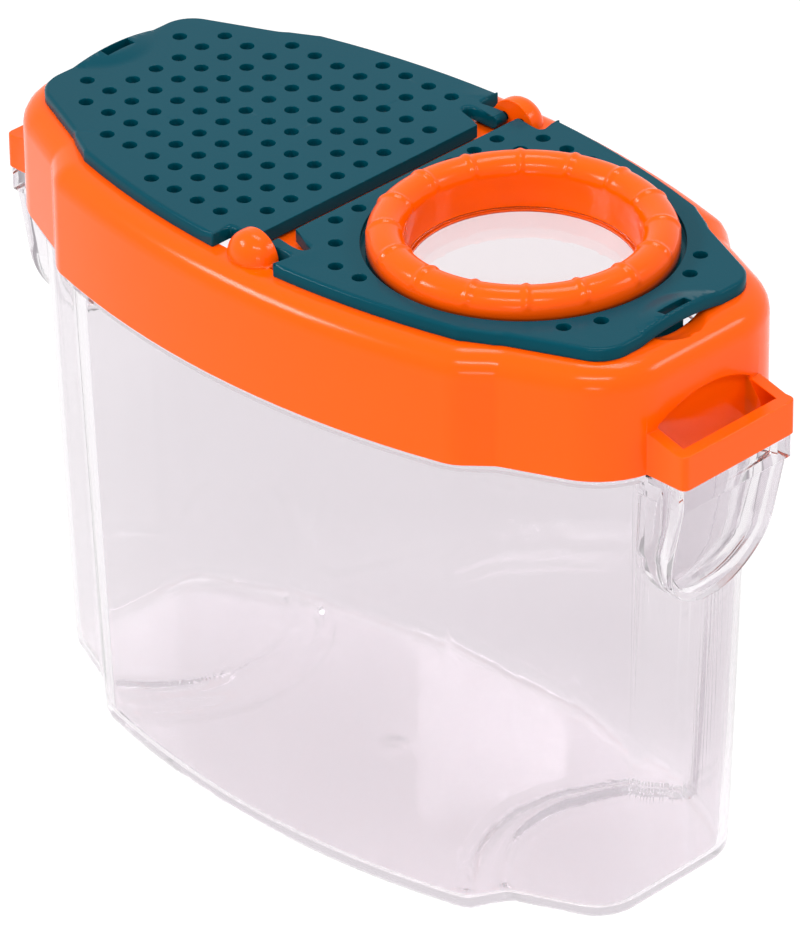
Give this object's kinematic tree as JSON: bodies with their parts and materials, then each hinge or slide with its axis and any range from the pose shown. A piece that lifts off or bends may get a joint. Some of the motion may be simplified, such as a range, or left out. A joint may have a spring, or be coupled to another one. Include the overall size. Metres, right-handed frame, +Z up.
{
  "type": "bug catcher jar",
  "caption": "Clear jar with a push-on lid frame, two hinged flaps, one full of air holes and one with a turning magnifier, and a strap loop at each end.",
  "frame": {"origin": "on the table under the middle of the jar's foot", "axes": "+Z up, +X along the jar towards the end with the magnifier, +Y towards the far long side"},
  "size_m": [0.1604, 0.079, 0.119],
  "materials": {
    "clear_plastic": "gloss",
    "orange_plastic": "gloss",
    "teal_plastic": "satin",
    "lens_plastic": "gloss"
  },
  "bodies": {
    "jar": {"jar": "clear_plastic"},
    "lid": {"lid_frame": "orange_plastic"},
    "vent_door": {"vent_flap": "teal_plastic"},
    "lens_door": {"lens_flap": "teal_plastic"},
    "magnifier": {"bezel": "orange_plastic", "lens": "lens_plastic"}
  },
  "joints": [
    {"name": "lid_lift", "type": "slide", "parent": "jar", "child": "lid", "axis": [0, 0, 1], "range_m": [0, 0.04]},
    {"name": "vent_hinge", "type": "hinge", "parent": "lid", "child": "vent_door", "pos_m": [-0.002, 0, 0.1135], "axis": [0, 1, 0], "range_deg": [0, 78]},
    {"name": "lens_hinge", "type": "hinge", "parent": "lid", "child": "lens_door", "pos_m": [0.002, 0, 0.1135], "axis": [0, -1, 0], "range_deg": [0, 78]},
    {"name": "bezel_turn", "type": "hinge", "parent": "lens_door", "child": "magnifier", "pos_m": [0.0314, 0, 0.113], "axis": [0, 0, 1], "continuous": true}
  ]
}
